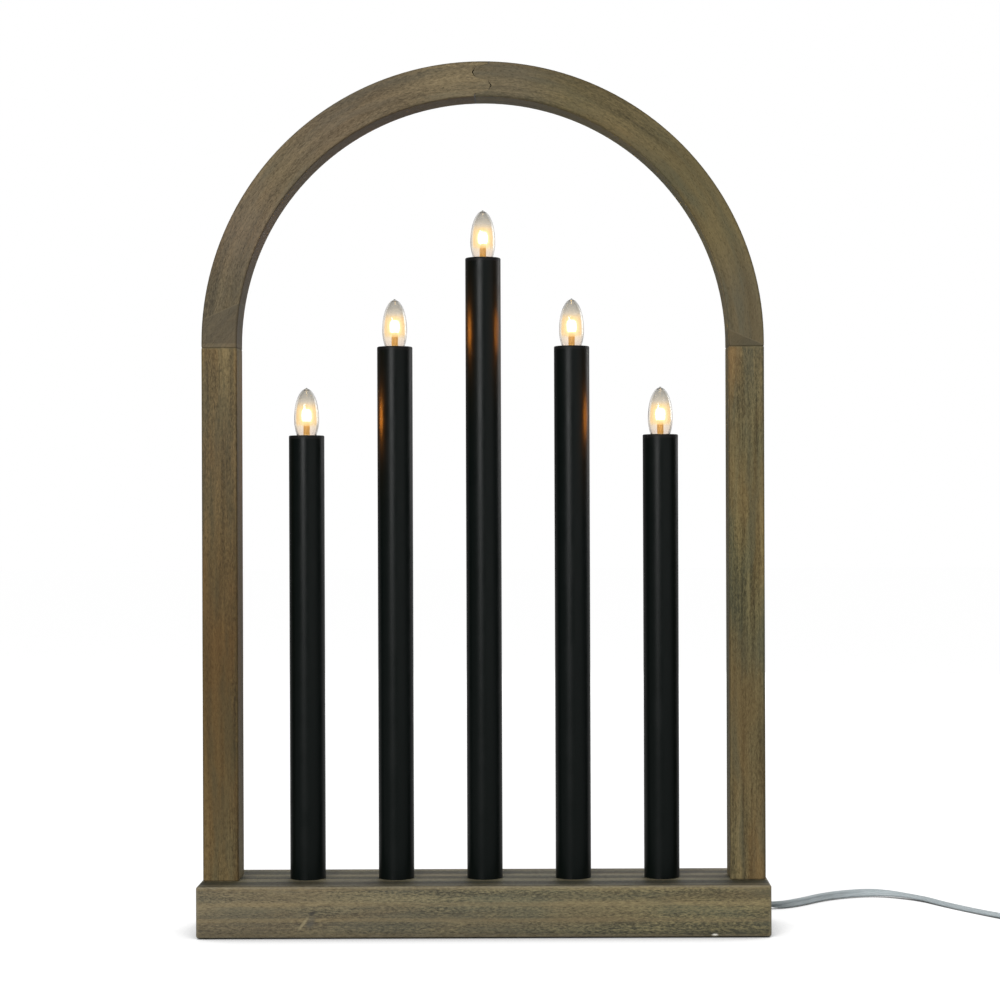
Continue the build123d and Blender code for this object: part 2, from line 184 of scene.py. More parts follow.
# section(share) gives points across and up, and turnAt(distance) gives radians
def sweep(path, section, turnAt):
    points, faces, distance = [], [], 0.0
    length = sum((b - a).length for a, b in zip(path, path[1:]))
    for i, spot in enumerate(path):
        ahead = (path[min(i + 1, len(path) - 1)] - path[max(i - 1, 0)]).normalized()
        if i:
            distance += (spot - path[i - 1]).length
        across = ahead.cross(Vector((0, 0, 1))).normalized()
        up = across.cross(ahead)
        turn = turnAt(distance)
        wide = across * cos(turn) + up * sin(turn)
        thin = up * cos(turn) - across * sin(turn)
        ring = section(distance / length)
        count = len(ring)
        points += [spot + wide * a + thin * b for a, b in ring]
    for i in range(len(path) - 1):
        for k in range(count):
            n = (k + 1) % count
            faces.append((i * count + k, i * count + n, (i + 1) * count + n, (i + 1) * count + k))
    last = (len(path) - 1) * count
    faces.append(tuple(reversed(range(count))))
    faces.append(tuple(range(last, last + count)))
    return points, faces


cameraSetup = {
    "place": (0.0375, -1.505, 0.266),
    "lens": 87.1,
    "sensor": 36.0,
    "roll": 0.2,  # degrees
    "shift": (-0.044, 0.0007),
    "farthest": 50.0,
}


def makeCamera(setup):
    data = bpy.data.cameras.new("photoCamera")
    data.lens = setup["lens"]
    data.sensor_width = setup["sensor"]
    data.shift_x, data.shift_y = setup["shift"]
    data.clip_end = setup["farthest"]
    camera = bpy.data.objects.new("photoCamera", data)
    camera.location = setup["place"]
    camera.rotation_euler = (pi / 2, radians(setup["roll"]), 0.0)
    bpy.context.scene.collection.objects.link(camera)
    bpy.context.scene.camera = camera


makeCamera(cameraSetup)

lightSetup = {
    "worldLevel": 0.37,  # soft light from all round
    "frontLevel": 0.04,  # how bright reflections see the room in front,
    "leftLevel": 0.1,  # behind on the left,
    "rightLevel": 0.55,  # behind on the right
    "wallLevel": 0.55,  # and on the white wall higher up behind
    "sideBlend": (-0.12, 0.1),  # directions over which these levels change
    "backBlend": (-0.35, 0.25),
    "wallBlend": (0.3, 0.8),
    "wallRise": (0.07, 0.16),
    "lamps": {  # place, aim, size, power in watts
        "keyLeft": ((-0.75, -1.95, 0.8), (0.0, 0.0, 0.25), 1.0, 36.0),
        "fillRight": ((1.3, -1.6, 0.5), (0.0, 0.0, 0.25), 2.2, 12.0),
        "rimRight": ((1.5, 1.0, 0.7), (0.0, 0.0, 0.25), 0.8, 5.0),
        "backFill": ((0.5, 2.0, 0.8), (0.0, 0.0, 0.25), 1.6, 20.0),
    },
}


def makeLights(setup):
    world = bpy.data.worlds.new("studio")
    bpy.context.scene.world = world
    world.use_nodes = True
    tree = world.node_tree
    tree.nodes.clear()
    rays = tree.nodes.new("ShaderNodeLightPath").outputs
    direction = axes(tree, coords(tree, "Generated"))
    side = between(tree, direction["X"], *setup["sideBlend"], setup["leftLevel"], setup["rightLevel"])
    behind = calc(tree, "MULTIPLY", between(tree, direction["Y"], *setup["backBlend"]), side)
    wall = between(tree, direction["Y"], *setup["wallBlend"], 0.0, setup["wallLevel"])
    wall = calc(tree, "MULTIPLY", wall, between(tree, direction["Z"], *setup["wallRise"]))
    behind = calc(tree, "MAXIMUM", calc(tree, "MAXIMUM", behind, wall), setup["frontLevel"])
    mirrored = rays["Is Glossy Ray"]
    seen = calc(tree, "MAXIMUM", rays["Is Camera Ray"], rays["Is Transmission Ray"])
    level = calc(tree, "MAXIMUM", calc(tree, "MULTIPLY", mirrored, behind), seen)
    plain = calc(tree, "SUBTRACT", 1.0, calc(tree, "MAXIMUM", mirrored, seen))
    strength = calc(tree, "MULTIPLY_ADD", plain, setup["worldLevel"], level)
    sky = place(tree, "ShaderNodeBackground", {"Color": (1.0, 1.0, 1.0, 1.0), "Strength": strength})
    tree.links.new(sky.outputs[0], tree.nodes.new("ShaderNodeOutputWorld").inputs["Surface"])
    for name, (spot, aim, size, power) in setup["lamps"].items():
        data = bpy.data.lights.new(name, "AREA")
        data.shape = "DISK"
        data.size = size
        data.energy = power
        lamp = bpy.data.objects.new(name, data)
        lamp.location = spot
        lamp.visible_transmission = False  # the glass shows no lamp through it
        lamp.visible_glossy = name != "backFill"  # which only lights the back
        lamp.rotation_euler = (Vector(aim) - Vector(spot)).to_track_quat("-Z", "Y").to_euler()
        bpy.context.scene.collection.objects.link(lamp)


makeLights(lightSetup)

floorSetup = {
    "halfSize": 8.0,
    "color": 0.3,  # of the floor as it lights the object
    "seenColor": 0.2,  # of the floor as it is seen, with a white glow on top
    "seenGlow": 0.92,
    "mirrorGlow": 0.38,  # share of the glow that reflections see
    "contact": 0.05,  # reach of the shadow round what stands on it
    "shadowBlend": (0.2, 0.8),
}


def makeFloor(setup):
    material = bpy.data.materials.new("paleFloor")
    material.use_nodes = True
    tree = material.node_tree
    tree.nodes.clear()
    rays = tree.nodes.new("ShaderNodeLightPath").outputs
    mirrored = rays["Is Glossy Ray"]
    seen = calc(tree, "MAXIMUM", rays["Is Camera Ray"], rays["Is Transmission Ray"])
    seen = calc(tree, "MAXIMUM", seen, mirrored)
    level = setup["color"]
    plain = place(tree, "ShaderNodeBsdfDiffuse", {"Color": (level, level, level, 1.0)})
    level = setup["seenColor"]
    lit = place(tree, "ShaderNodeBsdfDiffuse", {"Color": (level, level, level, 1.0)})
    near = place(tree, "ShaderNodeAmbientOcclusion", {"Distance": setup["contact"]}, samples=8)
    glowLevel = between(tree, near.outputs["AO"], *setup["shadowBlend"], 0.0, setup["seenGlow"])
    dim = calc(tree, "MULTIPLY_ADD", mirrored, setup["mirrorGlow"] - 1.0, 1.0)
    glowLevel = calc(tree, "MULTIPLY", glowLevel, dim)
    glow = place(tree, "ShaderNodeEmission", {"Strength": glowLevel})
    both = place(tree, "ShaderNodeAddShader", {0: lit.outputs[0], 1: glow.outputs[0]})
    mix = place(tree, "ShaderNodeMixShader", {0: seen, 1: plain.outputs[0], 2: both.outputs[0]})
    tree.links.new(mix.outputs[0], tree.nodes.new("ShaderNodeOutputMaterial").inputs["Surface"])
    half = setup["halfSize"]
    corners = [(-half, -half, 0), (half, -half, 0), (half, half, 0), (-half, half, 0)]
    newPiece("floor", corners, [(0, 1, 2, 3)], material)


makeFloor(floorSetup)
print("camera, lights and floor are in place")


grainFigure = {  # scales of noise per metre, along the grain and twice across it
    "swayScale": (5.0, 16.0, 16.0),
    "sway": (0.0, 0.007, 0.007),  # metres
    "ringBreaks": (4.0, 45.0, 45.0),
    "ringMiddle": 0.25,
    "streakScale": (9.0, 330.0, 330.0),
    "fibreScale": (380.0, 1250.0, 1250.0),
    "poreScale": (420.0, 1500.0, 1500.0),
    "poreRange": (0.56, 0.7),
    "poreDark": (0.3, 0.3, 0.3),
    "warmScale": (8.0, 34.0, 34.0),
    "warmRange": (0.42, 0.66),
    "coolScale": (18.0, 130.0, 130.0),
    "coolRange": (0.42, 0.68),
    "tone": 0.45,  # place between the dark and the pale color
    "roughness": 0.46,
    "streakRoughness": 0.22,
    "streakHeight": 0.5,
    "fibreHeight": 0.8,
    "bumpDepth": 0.00025,
    "bumpStrength": 0.55,
    "ior": 1.45,
}


def makeStainGrain(figure):  # stained wood: x runs along the grain, in metres
    takes = [("Vector", "v"), ("Pale", "c"), ("Dark", "c"), ("Warm", "c"), ("Cool", "c"), ("Pith", "v"),
             ("Ring Width", "f"), ("Ring", "f"), ("Streak", "f"), ("Fibre", "f"), ("Pore", "f"),
             ("Mottle", "f")]
    gives = [("Color", "c"), ("Roughness", "f"), ("Height", "f")]
    group, start, end = newGroup("stainGrain", takes, gives)
    sway = noise(group, start["Vector"], figure["swayScale"], output="Color")
    sway = vectorCalc(group, "SUBTRACT", sway, (0.5, 0.5, 0.5))
    vector = vectorCalc(group, "ADD", start["Vector"], vectorCalc(group, "MULTIPLY", sway, figure["sway"]))
    fromPith = vectorCalc(group, "SUBTRACT", vector, start["Pith"])
    fromPith = vectorCalc(group, "LENGTH", vectorCalc(group, "MULTIPLY", fromPith, (0.0, 1.0, 1.0)))
    turns = calc(group, "DIVIDE", fromPith, start["Ring Width"])
    ring = calc(group, "MULTIPLY_ADD", calc(group, "SINE", calc(group, "MULTIPLY", turns, 2 * pi)), 0.5, 0.5)
    ring = calc(group, "MULTIPLY", ring, noise(group, vector, figure["ringBreaks"]))
    streak = noise(group, vector, figure["streakScale"], 4.0, 0.6)
    fibre = noise(group, vector, figure["fibreScale"], 3.0, 0.7)
    pore = between(group, noise(group, vector, figure["poreScale"], 1.0), *figure["poreRange"])
    warm = between(group, noise(group, start["Vector"], figure["warmScale"], 3.0), *figure["warmRange"])
    cool = between(group, noise(group, start["Vector"], figure["coolScale"], 3.0), *figure["coolRange"])
    ringTone = calc(group, "MULTIPLY", calc(group, "SUBTRACT", ring, figure["ringMiddle"]), start["Ring"])
    tone = calc(group, "MULTIPLY_ADD", calc(group, "SUBTRACT", streak, 0.5), start["Streak"], figure["tone"])
    tone = calc(group, "SUBTRACT", tone, ringTone)
    tone = calc(group, "MULTIPLY_ADD", calc(group, "SUBTRACT", fibre, 0.5), start["Fibre"], tone)
    color = blendColor(group, tone, start["Dark"], start["Pale"])
    color = blendColor(group, calc(group, "MULTIPLY", warm, start["Mottle"]), color, start["Warm"])
    color = blendColor(group, calc(group, "MULTIPLY", cool, start["Mottle"]), color, start["Cool"])
    poreShare = calc(group, "MULTIPLY", pore, start["Pore"])
    color = blendColor(group, poreShare, color, figure["poreDark"], "MULTIPLY")
    rough = calc(group, "MULTIPLY_ADD", streak, figure["streakRoughness"], figure["roughness"])
    height = calc(group, "MULTIPLY", streak, figure["streakHeight"])
    height = calc(group, "MULTIPLY_ADD", fibre, figure["fibreHeight"], height)
    height = calc(group, "SUBTRACT", height, pore)
    for socket, value in zip(end, (color, rough, height)):
        group.links.new(value, socket)
    return group


edgeFigure = {"breakupScale": (220.0, 220.0, 220.0), "reach": 2.0, "blend": (1.0, 0.2)}


# painted highlight and painted shade along edges: this mask blends in each wood's edge colour, pale on the
# base and dark on the posts and arches
def makeEdgeLightShade(figure):  # mask along edges: the middle one of three distances to faces, broken up by noise
    takes = [("Vector", "v"), ("First", "f"), ("Second", "f"), ("Third", "f"), ("Width", "f")]
    group, start, end = newGroup("edgeLightShade", takes, [("Mask", "f")])
    least = calc(group, "MINIMUM", start["First"], start["Second"])
    most = calc(group, "MAXIMUM", start["First"], start["Second"])
    middle = calc(group, "MAXIMUM", least, calc(group, "MINIMUM", most, start["Third"]))
    breakup = noise(group, start["Vector"], figure["breakupScale"], 3.0, 0.6)
    reach = calc(group, "MULTIPLY", start["Width"], calc(group, "MULTIPLY", breakup, figure["reach"]))
    mask = between(group, calc(group, "DIVIDE", middle, reach), *figure["blend"])
    group.links.new(mask, end["Mask"])
    return group


smudgeRange = (0.35, 0.7)


def makeFineSurface():  # small unevenness of moulded or painted surfaces
    takes = [("Vector", "v"), ("Scale", "f"), ("Smudge", "f")]
    group, start, end = newGroup("fineSurface", takes, [("Height", "f"), ("Mask", "f")])
    for scale, detail, output in (("Scale", 2.0, "Height"), ("Smudge", 4.0, "Mask")):
        values = {"Vector": start["Vector"], "Scale": start[scale], "Detail": detail}
        result = place(group, "ShaderNodeTexNoise", values).outputs[0]
        if output == "Mask":
            result = between(group, result, *smudgeRange)
        group.links.new(result, end[output])
    return group


stainGrain = makeStainGrain(grainFigure)
edgeLightShade = makeEdgeLightShade(edgeFigure)
fineSurface = makeFineSurface()


def faceDistances(tree, where, low, high):  # distance to the nearer face along each axis
    parts = axes(tree, where)
    distances = []
    for axis in range(3):
        middle, half = (low[axis] + high[axis]) / 2, (high[axis] - low[axis]) / 2
        away = calc(tree, "ABSOLUTE", calc(tree, "SUBTRACT", parts[axis], middle))
        distances.append(calc(tree, "SUBTRACT", half, away))
    return distances


def spot(tree, where, center, size, lean=0.0):  # soft oval mark on the wood, leaning by degrees
    turning = {"Vector": where, "Center": center, "Angle": radians(lean)}
    turned = place(tree, "ShaderNodeVectorRotate", turning, rotation_type="Y_AXIS").outputs[0]
    away = vectorCalc(tree, "DIVIDE", vectorCalc(tree, "SUBTRACT", turned, center), size)
    return between(tree, vectorCalc(tree, "LENGTH", away), 1.0, 0.25)


# slow change of tone along a piece: stops are places from 0 to 1, and factors
def toneRamp(tree, share, stops, color, amount=1.0):
    ramp = place(tree, "ShaderNodeValToRGB", {0: share})
    elements = ramp.color_ramp.elements
    while len(elements) < len(stops):
        elements.new(0.5)
    for element, (position, factors) in zip(elements, stops):
        element.position = position
        element.color = (*factors, 1.0)
    return blendColor(tree, amount, color, ramp.outputs[0], "MULTIPLY")


def woodMaterial(name, look, distances, tweak=None, lane=None):
    material, tree, shader = newMaterial(name, IOR=grainFigure["ior"], Specular_IOR_Level=look["sheen"])
    where = coords(tree)
    vector = lane(tree, where) if lane else where
    turn = [radians(angle) for angle in look["turn"]]
    mapping = {"Vector": vector, "Location": look["slide"], "Rotation": turn}
    vector = place(tree, "ShaderNodeMapping", mapping).outputs[0]
    grain = useGroup(tree, stainGrain, {
        "Vector": vector, "Pale": look["pale"], "Dark": look["dark"], "Warm": look["warm"],
        "Cool": look["cool"], "Pith": look["pith"], "Ring Width": look["ringWidth"], "Ring": look["ring"],
        "Streak": look["streak"], "Fibre": look["fibre"], "Pore": look["pore"], "Mottle": look["mottle"]})
    color = grain["Color"]
    if tweak:
        color = tweak(tree, where, color)
    first, second, third = distances(tree, where)
    edge = useGroup(tree, edgeLightShade, {
        "Vector": where, "First": first, "Second": second, "Third": third, "Width": look["edgeWidth"]})
    # painted light along the edges: a painted highlight on the base, painted shade on the posts and arches
    edgeShare = calc(tree, "MULTIPLY", edge["Mask"], look["edgeShare"])
    color = blendColor(tree, edgeShare, color, look["edgeColor"])
    tree.links.new(color, shader.inputs["Base Color"])
    tree.links.new(grain["Roughness"], shader.inputs["Roughness"])
    setBump(tree, shader, grain["Height"], grainFigure["bumpDepth"], grainFigure["bumpStrength"])
    return material


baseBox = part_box("base_block")
baseLook = {
    "pale": (0.245, 0.208, 0.110), "dark": (0.045, 0.042, 0.026), "warm": (0.18, 0.125, 0.060),
    "cool": (0.085, 0.090, 0.062), "pith": (0.0, 0.055, -0.012), "ringWidth": 0.0065, "ring": 0.7,
    "streak": 1.3, "fibre": 3.2, "pore": 0.45, "mottle": 0.35, "turn": (0.0, 0.0, 0.0),
    # the pale edge colour is a painted highlight along the base's edges
    "slide": (0.31, 0.0, 0.0), "edgeWidth": 0.0018, "edgeShare": 0.5, "edgeColor": (0.23, 0.20, 0.135),
    "sheen": 0.4,
    "tones": [(0.0, (0.96, 0.96, 1.0)), (0.35, (0.97, 0.95, 0.95)), (0.6, (0.97, 1.00, 0.98)),
              (0.87, (1.11, 1.09, 0.96)), (1.0, (1.06, 1.05, 0.93))],
}
frontBands = {  # growth bands along the front and back: metres, and ranges of their wave from -1 to 1
    "faceDepth": (0.0335, 0.0343), "level": 0.0113, "pitch": 0.0097,
    "sway": 0.003, "swayScale": (11.0, 3.0, 40.0),
    "pale": (0.265, 0.198, 0.095), "paleRange": (0.4, 1.0), "paleShare": 0.29,
    "dark": (0.93, 0.94, 0.95), "darkRange": (0.2, -0.9), "darkLevels": (0.030, 0.025),
    # foot: painted shade, the front darkens towards the floor over its lowest few millimetres
    "foot": (0.52, 0.53, 0.53), "footLevels": (0.0075, 0.0010),
    "head": (1.08, 1.07, 1.06), "headLevels": (0.0245, 0.0285),
}
topBands = {  # the same on top, with a darker strip along the front edge
    "level": (0.0312, 0.0318), "middle": 0.009, "pitch": 0.0195,
    "pale": (0.272, 0.243, 0.168), "paleRange": (0.2, 1.0), "paleShare": 0.30,
    "dark": (0.48, 0.52, 0.57), "darkRange": (0.3, -0.8),
    # painted shade along the front of the top
    "frontEdgeShade": (0.64, 0.65, 0.68), "frontEdgeShadeDepth": (-0.018, -0.026),
}
baseSpots = [  # a knot with a pale streak, and a nick: middle, half sizes, lean, color, share
    ((-0.1052, -0.035, 0.0102), (0.0035, 0.012, 0.0055), -25.0, (0.075, 0.07, 0.055), 0.6),
    ((-0.1096, -0.035, 0.0095), (0.0014, 0.012, 0.0072), -36.0, (0.27, 0.225, 0.125), 0.75),
    ((-0.1040, -0.035, 0.0158), (0.0030, 0.012, 0.0015), 25.0, (0.03, 0.026, 0.02), 0.9),
    ((0.1405, -0.035, 0.0018), (0.0026, 0.004, 0.0011), 0.0, (0.75, 0.72, 0.64), 1.0),
]


def bandWave(tree, away, sway, pitch):  # 1 in the middle of a band and -1 halfway to the next
    swayed = calc(tree, "MULTIPLY_ADD", sway, frontBands["sway"], away)
    return calc(tree, "COSINE", calc(tree, "MULTIPLY", swayed, 2 * pi / pitch))


def baseTone(tree, where, color):
    low, high = baseBox
    parts = axes(tree, where)
    face = between(tree, calc(tree, "ABSOLUTE", parts["Y"]), *frontBands["faceDepth"])
    top = between(tree, parts["Z"], *topBands["level"])
    sway = calc(tree, "SUBTRACT", noise(tree, where, frontBands["swayScale"]), 0.5)

    wave = bandWave(tree, calc(tree, "SUBTRACT", parts["Y"], topBands["middle"]), sway, topBands["pitch"])
    dark = calc(tree, "MULTIPLY", between(tree, wave, *topBands["darkRange"]), top)
    pale = between(tree, wave, *topBands["paleRange"], 0.0, topBands["paleShare"])
    color = blendColor(tree, dark, color, topBands["dark"], "MULTIPLY")
    color = blendColor(tree, calc(tree, "MULTIPLY", pale, top), color, topBands["pale"])

    share = calc(tree, "DIVIDE", calc(tree, "SUBTRACT", parts["X"], low.x), high.x - low.x)
    color = toneRamp(tree, share, baseLook["tones"], color, calc(tree, "SUBTRACT", 1.0, top))
    head = calc(tree, "MULTIPLY", between(tree, parts["Z"], *frontBands["headLevels"]), face)
    color = blendColor(tree, head, color, frontBands["head"], "MULTIPLY")
    # painted shade: the top darkens along its front edge
    frontEdgeShade = calc(tree, "MULTIPLY", between(tree, parts["Y"], *topBands["frontEdgeShadeDepth"]), top)
    color = blendColor(tree, frontEdgeShade, color, topBands["frontEdgeShade"], "MULTIPLY")

    wave = bandWave(tree, calc(tree, "SUBTRACT", parts["Z"], frontBands["level"]), sway, frontBands["pitch"])
    dark = calc(tree, "MULTIPLY", face, between(tree, parts["Z"], *frontBands["darkLevels"]))
    dark = calc(tree, "MULTIPLY", between(tree, wave, *frontBands["darkRange"]), dark)
    pale = between(tree, wave, *frontBands["paleRange"], 0.0, frontBands["paleShare"])
    color = blendColor(tree, dark, color, frontBands["dark"], "MULTIPLY")
    color = blendColor(tree, calc(tree, "MULTIPLY", pale, face), color, frontBands["pale"])
    # painted shade: the front darkens towards the floor
    foot = between(tree, parts["Z"], *frontBands["footLevels"])
    color = blendColor(tree, foot, color, frontBands["foot"], "MULTIPLY")
    for middle, size, lean, tint, share in baseSpots:
        mask = calc(tree, "MULTIPLY", spot(tree, where, middle, size, lean), share)
        color = blendColor(tree, mask, color, tint)
    return color


postLooks = {
    "left_post": {
        "pale": (0.158, 0.109, 0.046), "dark": (0.030, 0.022, 0.010), "warm": (0.14, 0.072, 0.022),
        "cool": (0.060, 0.053, 0.028), "pith": (0.0, 0.03, -0.03), "ringWidth": 0.0075, "ring": 0.35,
        "streak": 1.6, "fibre": 1.7, "pore": 0.22, "mottle": 0.45, "turn": (0.0, 90.0, 0.0),
        # the dark edge colour is painted shade on the post's rounded edges
        "slide": (0.0, 0.0, 0.0), "edgeWidth": 0.0010, "edgeShare": 0.5, "edgeColor": (0.035, 0.029, 0.019),
        "sheen": 0.12,
        "tones": [(0.04, (1.24, 1.36, 1.45)), (0.24, (0.90, 0.95, 0.95)), (0.43, (0.86, 0.84, 0.78)),
                  (0.62, (0.98, 0.97, 0.95)), (0.81, (1.24, 1.24, 1.33)), (0.98, (1.55, 1.66, 1.80))],
    },
    "right_post": {
        "pale": (0.172, 0.142, 0.066), "dark": (0.034, 0.030, 0.015), "warm": (0.165, 0.096, 0.032),
        "cool": (0.068, 0.070, 0.044), "pith": (0.0, 0.03, -0.03), "ringWidth": 0.0075, "ring": 0.5,
        "streak": 2.2, "fibre": 1.7, "pore": 0.22, "mottle": 0.45, "turn": (0.0, 90.0, 0.0),
        # the dark edge colour is painted shade on the post's rounded edges
        "slide": (0.7, 0.4, 0.2), "edgeWidth": 0.0010, "edgeShare": 0.5, "edgeColor": (0.035, 0.029, 0.019),
        "sheen": 0.12,
        "tones": [(0.04, (1.35, 1.28, 1.28)), (0.24, (0.97, 0.98, 1.02)), (0.43, (0.95, 1.00, 1.06)),
                  (0.62, (1.36, 1.35, 1.27)), (0.81, (1.09, 1.18, 1.26)), (0.98, (1.60, 1.47, 1.47))],
    },
}
# painted highlight: a paler line standing for the light caught by the chamfer at each post's top
postTopHighlight = {"depth": 0.0013, "color": (0.26, 0.215, 0.11), "share": 0.4}  # paler line at the top of each post

archLooks = {
    "arch_left": {
        "pale": (0.226, 0.170, 0.097), "dark": (0.057, 0.044, 0.026), "warm": (0.185, 0.122, 0.058),
        "cool": (0.104, 0.092, 0.064), "pith": (0.0, 0.04, 0.0), "ringWidth": 0.012, "ring": 0.25,
        "streak": 0.9, "fibre": 1.7, "pore": 0.3, "mottle": 0.4, "turn": (0.0, 0.0, 0.0),
        # the dark edge colour is painted shade on the arch's rounded edges
        "slide": (0.2, 0.0, 0.6), "edgeWidth": 0.0009, "edgeShare": 0.6, "edgeColor": (0.04, 0.034, 0.025),
        "sheen": 0.12, "scarfRise": 0.017, "footColor": (0.092, 0.074, 0.047), "footShare": 0.6,
        # painted shade darkening this arch's underside
        "undersideLightShade": (0.76, 0.70, 0.66),
        "tones": [(0.544, (1.22, 1.25, 1.20)), (0.611, (0.93, 0.94, 0.95)), (0.694, (0.94, 0.96, 1.03)),
                  (0.778, (0.97, 1.02, 1.03)), (0.861, (1.10, 1.04, 1.05)), (0.933, (0.74, 0.78, 0.80))],
    },
    "arch_right": {
        "pale": (0.188, 0.152, 0.076), "dark": (0.046, 0.040, 0.021), "warm": (0.16, 0.110, 0.046),
        "cool": (0.086, 0.083, 0.051), "pith": (0.0, 0.04, 0.0), "ringWidth": 0.012, "ring": 0.25,
        "streak": 1.1, "fibre": 1.2, "pore": 0.25, "mottle": 0.5, "turn": (0.0, 0.0, 0.0),
        # the dark edge colour is painted shade on the arch's rounded edges
        "slide": (0.9, 0.3, 0.1), "edgeWidth": 0.0009, "edgeShare": 0.6, "edgeColor": (0.04, 0.036, 0.026),
        "sheen": 0.12, "scarfRise": 0.0006, "footColor": (0.080, 0.062, 0.034), "footShare": 0.5,
        # painted light brightening this arch's underside
        "undersideLightShade": (1.42, 1.40, 1.36),
        "tones": [(0.067, (0.90, 0.95, 1.10)), (0.139, (1.04, 1.07, 1.03)), (0.222, (0.85, 0.91, 0.91)),
                  (0.306, (1.11, 1.05, 0.97)), (0.389, (1.04, 1.00, 0.94)), (0.456, (1.11, 1.09, 1.26))],
    },
}
# depth of the painted shade and painted light on the arches' undersides
innerSkin = 0.0005  # depth of the tone on the ring's inner side
scarfJoint = {  # slanted glued joint near each arch's foot, below which the short piece has its own figure
    "slope": 0.44, "line": 0.0007, "color": (0.19, 0.155, 0.095), "share": 0.3,
    "blend": 0.0001, "footSlide": (0.3, 0.2, 0.1), "footTurn": 50.0,
}


def scarfSide(tree, where, outer, joint):  # distance above the glued joint
    parts = axes(tree, where)
    inward = calc(tree, "SUBTRACT", outer, calc(tree, "ABSOLUTE", parts[0]))
    level = calc(tree, "MULTIPLY_ADD", inward, scarfJoint["slope"], joint)
    return calc(tree, "SUBTRACT", parts[2], level)


def dressPosts():
    for name, look in postLooks.items():
        low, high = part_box(name)

        def postTone(tree, where, color, look=look, low=low, high=high):
            height = axes(tree, where)["Z"]
            share = calc(tree, "DIVIDE", calc(tree, "SUBTRACT", height, low.z), high.z - low.z)
            color = toneRamp(tree, share, look["tones"], color)
            # painted highlight along the post's top edge
            end = between(tree, height, high.z - postTopHighlight["depth"], high.z, 0.0, postTopHighlight["share"])
            return blendColor(tree, end, color, postTopHighlight["color"])

        def postDistances(tree, where, low=low, high=high):
            return faceDistances(tree, where, low, high)

        dress(name, woodMaterial(name + "Wood", look, postDistances, postTone))


def dressArches():
    low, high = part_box("arch_right")
    outer, spring, halfDepth = high.x, low.z, high.y
    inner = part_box("right_post")[0].x
    ringMiddle = (0.0, 0.0, high.z - outer)

    def ringPlace(tree, where):  # distance from the ring's middle, and the parts of the vector from it
        flat = vectorCalc(tree, "MULTIPLY", vectorCalc(tree, "SUBTRACT", where, ringMiddle), (1.0, 0.0, 1.0))
        return vectorCalc(tree, "LENGTH", flat), axes(tree, flat)

    def archDistances(tree, where):
        depth = axes(tree, where)["Y"]
        radius = ringPlace(tree, where)[0]
        inside, outside = calc(tree, "SUBTRACT", radius, inner), calc(tree, "SUBTRACT", outer, radius)
        front = calc(tree, "SUBTRACT", halfDepth, calc(tree, "ABSOLUTE", depth))
        return calc(tree, "MINIMUM", inside, outside), front, 1.0  # the ring's ends count as far away

    for name, look in archLooks.items():
        joint = spring + look["scarfRise"]

        def archGrain(tree, where, joint=joint):  # along the ring
            radius, flat = ringPlace(tree, where)
            along = calc(tree, "MULTIPLY", calc(tree, "ARCTAN2", flat["Z"], flat["X"]), (inner + outer) / 2)
            depth = axes(tree, where)["Y"]
            ring = place(tree, "ShaderNodeCombineXYZ", {"X": along, "Y": depth, "Z": radius}).outputs[0]
            blend = scarfJoint["blend"]
            above = between(tree, scarfSide(tree, where, outer, joint), -blend, blend)
            foot = place(tree, "ShaderNodeMapping", {
                "Vector": where, "Location": scarfJoint["footSlide"],
                "Rotation": (0.0, radians(scarfJoint["footTurn"]), 0.0)}).outputs[0]
            return place(tree, "ShaderNodeMix", {0: above, 4: foot, 5: ring}, data_type="VECTOR").outputs[1]

        def archTone(tree, where, color, look=look, joint=joint):
            side = scarfSide(tree, where, outer, joint)
            radius, flat = ringPlace(tree, where)
            # painted shade on the left arch's underside, painted light on the right one
            underside = between(tree, radius, inner + innerSkin, inner + innerSkin / 2)
            color = blendColor(tree, underside, color, look["undersideLightShade"], "MULTIPLY")
            share = calc(tree, "DIVIDE", calc(tree, "ARCTAN2", flat["Z"], flat["X"]), pi)
            color = toneRamp(tree, share, look["tones"], color)
            blend = scarfJoint["blend"]
            below = between(tree, side, blend, -blend, 0.0, look["footShare"])
            fromGlue = calc(tree, "ABSOLUTE", side)
            glue = between(tree, fromGlue, scarfJoint["line"], 0.0, 0.0, scarfJoint["share"])
            color = blendColor(tree, below, color, look["footColor"])
            return blendColor(tree, glue, color, scarfJoint["color"])

        dress(name, woodMaterial(name + "Wood", look, archDistances, archTone, archGrain))


dress("base_block", woodMaterial("baseWood", baseLook, lambda t, w: faceDistances(t, w, *baseBox), baseTone))
dressPosts()
dressArches()

crownGlue = {  # metres
    "edge": 0.0048, "gap": 0.0008, "deep": 0.0018, "sunk": 0.00012, "dip": 0.0001, "inset": 0.0003,
    "band": 0.022, "dark": (0.022, 0.016, 0.010), "pale": (0.045, 0.034, 0.022), "roughness": 0.55,
    "peel": 1800.0, "smudge": 500.0, "bumpDepth": 0.0001, "bumpStrength": 0.4,
}


def fineTexture(tree, scale, smudge):
    return useGroup(tree, fineSurface, {"Vector": coords(tree), "Scale": scale, "Smudge": smudge})


